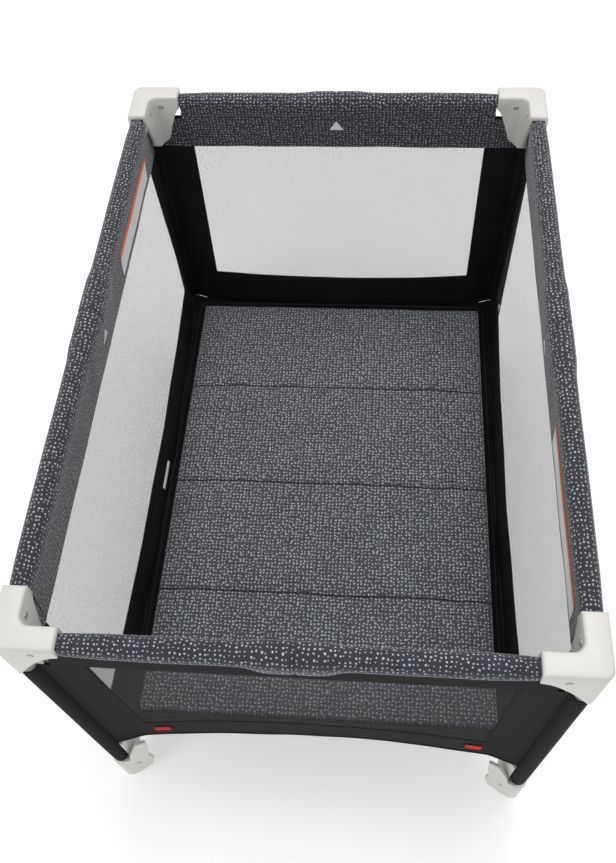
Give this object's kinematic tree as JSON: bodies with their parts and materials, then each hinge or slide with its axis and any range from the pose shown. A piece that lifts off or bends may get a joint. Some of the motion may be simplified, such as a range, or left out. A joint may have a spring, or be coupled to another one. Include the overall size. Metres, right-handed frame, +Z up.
{
  "type": "playpen",
  "caption": "Folding rectangular playpen: padded rail covers that fold at latches, mesh walls, plastic corner and foot brackets, a lifting hub and a folding pad.",
  "frame": {"origin": "on the ground at the middle of the four feet", "axes": "+Z up, +Y along the length, +X to the right"},
  "size_m": [0.7266, 1.0266, 0.735],
  "materials": {
    "frame_steel": "satin",
    "bracket_plastic": "satin",
    "dark_plastic": "matte",
    "button_plastic": "satin",
    "printed_fabric": "woven, small pale pebble print",
    "wall_fabric": "open net with solid edge strips",
    "floor_fabric": "woven",
    "pad_fabric": "woven, small pale pebble print, quilted"
  },
  "bodies": {
    "leg_front_left": {"leg_tube_front_left": "frame_steel", "corner_bracket_front_left": "bracket_plastic", "foot_bracket_front_left": "bracket_plastic", "wall_front": "wall_fabric"},
    "lower_rail_front_left": {"lower_rail_front_left": "frame_steel", "floor_front_left": "floor_fabric"},
    "leg_front_right": {"leg_tube_front_right": "frame_steel", "corner_bracket_front_right": "bracket_plastic", "foot_bracket_front_right": "bracket_plastic", "wall_right": "wall_fabric"},
    "lower_rail_front_right": {"lower_rail_front_right": "frame_steel", "floor_front_right": "floor_fabric"},
    "leg_back_right": {"leg_tube_back_right": "frame_steel", "corner_bracket_back_right": "bracket_plastic", "foot_bracket_back_right": "bracket_plastic", "wall_back": "wall_fabric"},
    "lower_rail_back_right": {"lower_rail_back_right": "frame_steel", "floor_back_right": "floor_fabric"},
    "leg_back_left": {"leg_tube_back_left": "frame_steel", "corner_bracket_back_left": "bracket_plastic", "foot_bracket_back_left": "bracket_plastic", "wall_left": "wall_fabric"},
    "lower_rail_back_left": {"lower_rail_back_left": "frame_steel", "floor_back_left": "floor_fabric"},
    "hub": {"center_hub": "dark_plastic"},
    "top_rail_front_a": {"top_rail_front_a": "frame_steel", "rail_sleeve_front_a": "printed_fabric"},
    "latch_front": {"latch_housing_front": "dark_plastic", "latch_cover_front": "printed_fabric"},
    "top_rail_front_b": {"top_rail_front_b": "frame_steel", "rail_sleeve_front_b": "printed_fabric"},
    "latch_button_front": {"latch_button_front": "button_plastic"},
    "top_rail_right_a": {"top_rail_right_a": "frame_steel", "rail_sleeve_right_a": "printed_fabric"},
    "latch_right": {"latch_housing_right": "dark_plastic", "latch_cover_right": "printed_fabric"},
    "top_rail_right_b": {"top_rail_right_b": "frame_steel", "rail_sleeve_right_b": "printed_fabric"},
    "latch_button_right": {"latch_button_right": "button_plastic"},
    "top_rail_back_a": {"top_rail_back_a": "frame_steel", "rail_sleeve_back_a": "printed_fabric"},
    "latch_back": {"latch_housing_back": "dark_plastic", "latch_cover_back": "printed_fabric"},
    "top_rail_back_b": {"top_rail_back_b": "frame_steel", "rail_sleeve_back_b": "printed_fabric"},
    "latch_button_back": {"latch_button_back": "button_plastic"},
    "top_rail_left_a": {"top_rail_left_a": "frame_steel", "rail_sleeve_left_a": "printed_fabric"},
    "latch_left": {"latch_housing_left": "dark_plastic", "latch_cover_left": "printed_fabric"},
    "top_rail_left_b": {"top_rail_left_b": "frame_steel", "rail_sleeve_left_b": "printed_fabric"},
    "latch_button_left": {"latch_button_left": "button_plastic"},
    "pad_strap": {"pad_strap": "floor_fabric"},
    "pad_panel_4": {"pad_panel_4": "pad_fabric"},
    "pad_panel_3": {"pad_panel_3": "pad_fabric"},
    "pad_panel_2": {"pad_panel_2": "pad_fabric"},
    "pad_panel_1": {"pad_panel_1": "pad_fabric"}
  },
  "joints": [
    {"name": "frame_fold", "type": "hinge", "parent": "leg_front_left", "child": "lower_rail_front_left", "pos_m": [-0.32735, -0.46988, 0.178], "axis": [0.8205, -0.5716, 0], "range_deg": [0, 82], "deforming": ["rail_sleeve_front_a", "rail_sleeve_front_b", "latch_cover_front", "wall_front", "rail_sleeve_right_a", "rail_sleeve_right_b", "latch_cover_right", "wall_right", "rail_sleeve_back_a", "rail_sleeve_back_b", "latch_cover_back", "wall_back", "rail_sleeve_left_a", "rail_sleeve_left_b", "latch_cover_left", "wall_left", "floor_front_left", "floor_front_right", "floor_back_right", "floor_back_left", "pad_panel_1", "pad_panel_2", "pad_panel_3", "pad_panel_4", "pad_strap"]},
    {"name": "hub_level", "type": "hinge", "parent": "lower_rail_front_left", "child": "hub", "pos_m": [-0.04573, -0.06564, 0.178], "axis": [0.8205, -0.5716, 0], "range_deg": [-82, 0]},
    {"name": "lower_rail_fold_front_right", "type": "hinge", "parent": "hub", "child": "lower_rail_front_right", "pos_m": [0.04573, -0.06564, 0.178], "axis": [0.8205, 0.5716, 0], "range_deg": [0, 82]},
    {"name": "leg_level_front_right", "type": "hinge", "parent": "lower_rail_front_right", "child": "leg_front_right", "pos_m": [0.32735, -0.46988, 0.178], "axis": [0.8205, 0.5716, 0], "range_deg": [-82, 0]},
    {"name": "lower_rail_fold_back_right", "type": "hinge", "parent": "hub", "child": "lower_rail_back_right", "pos_m": [0.04573, 0.06564, 0.178], "axis": [-0.8205, 0.5716, 0], "range_deg": [0, 82]},
    {"name": "leg_level_back_right", "type": "hinge", "parent": "lower_rail_back_right", "child": "leg_back_right", "pos_m": [0.32735, 0.46988, 0.178], "axis": [-0.8205, 0.5716, 0], "range_deg": [-82, 0]},
    {"name": "lower_rail_fold_back_left", "type": "hinge", "parent": "hub", "child": "lower_rail_back_left", "pos_m": [-0.04573, 0.06564, 0.178], "axis": [-0.8205, -0.5716, 0], "range_deg": [0, 82]},
    {"name": "leg_level_back_left", "type": "hinge", "parent": "lower_rail_back_left", "child": "leg_back_left", "pos_m": [-0.32735, 0.46988, 0.178], "axis": [-0.8205, -0.5716, 0], "range_deg": [-82, 0]},
    {"name": "top_rail_fold_front_a", "type": "hinge", "parent": "leg_front_left", "child": "top_rail_front_a", "pos_m": [-0.3115, -0.4945, 0.714], "axis": [0, 1, 0], "range_deg": [0, 82]},
    {"name": "latch_level_front", "type": "hinge", "parent": "top_rail_front_a", "child": "latch_front", "pos_m": [-0.02988, -0.4945, 0.714], "axis": [0, 1, 0], "range_deg": [-82, 0]},
    {"name": "top_rail_fold_front_b", "type": "hinge", "parent": "latch_front", "child": "top_rail_front_b", "pos_m": [0.02988, -0.4945, 0.714], "axis": [0, 1, 0], "range_deg": [-82, 0]},
    {"name": "button_press_front", "type": "slide", "parent": "latch_front", "child": "latch_button_front", "axis": [0, 0, 1], "range_m": [0, 0.006], "stiffness_N_per_m": 250, "springref_m": -0.004},
    {"name": "top_rail_fold_right_a", "type": "hinge", "parent": "leg_front_right", "child": "top_rail_right_a", "pos_m": [0.3445, -0.4615, 0.714], "axis": [-1, 0, 0], "range_deg": [0, 82]},
    {"name": "latch_level_right", "type": "hinge", "parent": "top_rail_right_a", "child": "latch_right", "pos_m": [0.3445, -0.05726, 0.714], "axis": [-1, 0, 0], "range_deg": [-82, 0]},
    {"name": "top_rail_fold_right_b", "type": "hinge", "parent": "latch_right", "child": "top_rail_right_b", "pos_m": [0.3445, 0.05726, 0.714], "axis": [-1, 0, 0], "range_deg": [-82, 0]},
    {"name": "button_press_right", "type": "slide", "parent": "latch_right", "child": "latch_button_right", "axis": [0, 0, 1], "range_m": [0, 0.006], "stiffness_N_per_m": 250, "springref_m": -0.004},
    {"name": "top_rail_fold_back_a", "type": "hinge", "parent": "leg_back_right", "child": "top_rail_back_a", "pos_m": [0.3115, 0.4945, 0.714], "axis": [0, -1, 0], "range_deg": [0, 82]},
    {"name": "latch_level_back", "type": "hinge", "parent": "top_rail_back_a", "child": "latch_back", "pos_m": [0.02988, 0.4945, 0.714], "axis": [0, -1, 0], "range_deg": [-82, 0]},
    {"name": "top_rail_fold_back_b", "type": "hinge", "parent": "latch_back", "child": "top_rail_back_b", "pos_m": [-0.02988, 0.4945, 0.714], "axis": [0, -1, 0], "range_deg": [-82, 0]},
    {"name": "button_press_back", "type": "slide", "parent": "latch_back", "child": "latch_button_back", "axis": [0, 0, 1], "range_m": [0, 0.006], "stiffness_N_per_m": 250, "springref_m": -0.004},
    {"name": "top_rail_fold_left_a", "type": "hinge", "parent": "leg_back_left", "child": "top_rail_left_a", "pos_m": [-0.3445, 0.4615, 0.714], "axis": [1, 0, 0], "range_deg": [0, 82]},
    {"name": "latch_level_left", "type": "hinge", "parent": "top_rail_left_a", "child": "latch_left", "pos_m": [-0.3445, 0.05726, 0.714], "axis": [1, 0, 0], "range_deg": [-82, 0]},
    {"name": "top_rail_fold_left_b", "type": "hinge", "parent": "latch_left", "child": "top_rail_left_b", "pos_m": [-0.3445, -0.05726, 0.714], "axis": [1, 0, 0], "range_deg": [-82, 0]},
    {"name": "button_press_left", "type": "slide", "parent": "latch_left", "child": "latch_button_left", "axis": [0, 0, 1], "range_m": [0, 0.006], "stiffness_N_per_m": 250, "springref_m": -0.004},
    {"name": "pad_settle", "type": "slide", "parent": "leg_front_left", "child": "pad_strap", "axis": [0, 0, 1], "range_m": [-0.191, 0]},
    {"name": "pad_lift", "type": "slide", "parent": "pad_strap", "child": "pad_panel_4", "axis": [0, 0, 1], "range_m": [0, 0.75]},
    {"name": "pad_fold_3", "type": "hinge", "parent": "pad_panel_4", "child": "pad_panel_3", "pos_m": [0, 0.2244, 0.2183], "axis": [-1, 0, 0], "range_deg": [0, 90.01]},
    {"name": "pad_fold_2", "type": "hinge", "parent": "pad_panel_3", "child": "pad_panel_2", "pos_m": [0, 0, 0.2183], "axis": [-1, 0, 0], "range_deg": [0, 90.01]},
    {"name": "pad_fold_1", "type": "hinge", "parent": "pad_panel_2", "child": "pad_panel_1", "pos_m": [0, -0.2244, 0.2183], "axis": [-1, 0, 0], "range_deg": [0, 90.01]}
  ],
  "couplings": [
    {"joint": "hub_level", "follows": "frame_fold", "ratio": -1},
    {"joint": "lower_rail_fold_front_right", "follows": "frame_fold", "ratio": 1},
    {"joint": "leg_level_front_right", "follows": "frame_fold", "ratio": -1},
    {"joint": "lower_rail_fold_back_right", "follows": "frame_fold", "ratio": 1},
    {"joint": "leg_level_back_right", "follows": "frame_fold", "ratio": -1},
    {"joint": "lower_rail_fold_back_left", "follows": "frame_fold", "ratio": 1},
    {"joint": "leg_level_back_left", "follows": "frame_fold", "ratio": -1},
    {"joint": "top_rail_fold_front_a", "follows": "frame_fold", "ratio": 1},
    {"joint": "latch_level_front", "follows": "frame_fold", "ratio": -1},
    {"joint": "top_rail_fold_front_b", "follows": "frame_fold", "ratio": -1},
    {"joint": "top_rail_fold_right_a", "follows": "frame_fold", "ratio": 1},
    {"joint": "latch_level_right", "follows": "frame_fold", "ratio": -1},
    {"joint": "top_rail_fold_right_b", "follows": "frame_fold", "ratio": -1},
    {"joint": "top_rail_fold_back_a", "follows": "frame_fold", "ratio": 1},
    {"joint": "latch_level_back", "follows": "frame_fold", "ratio": -1},
    {"joint": "top_rail_fold_back_b", "follows": "frame_fold", "ratio": -1},
    {"joint": "top_rail_fold_left_a", "follows": "frame_fold", "ratio": 1},
    {"joint": "latch_level_left", "follows": "frame_fold", "ratio": -1},
    {"joint": "top_rail_fold_left_b", "follows": "frame_fold", "ratio": -1},
    {"joint": "pad_settle", "follows": "frame_fold", "m_per_rad": -0.13311},
    {"joint": "pad_fold_3", "follows": "frame_fold", "ratio": 1.0976},
    {"joint": "pad_fold_2", "follows": "frame_fold", "ratio": 1.0976},
    {"joint": "pad_fold_1", "follows": "frame_fold", "ratio": 1.0976}
  ]
}
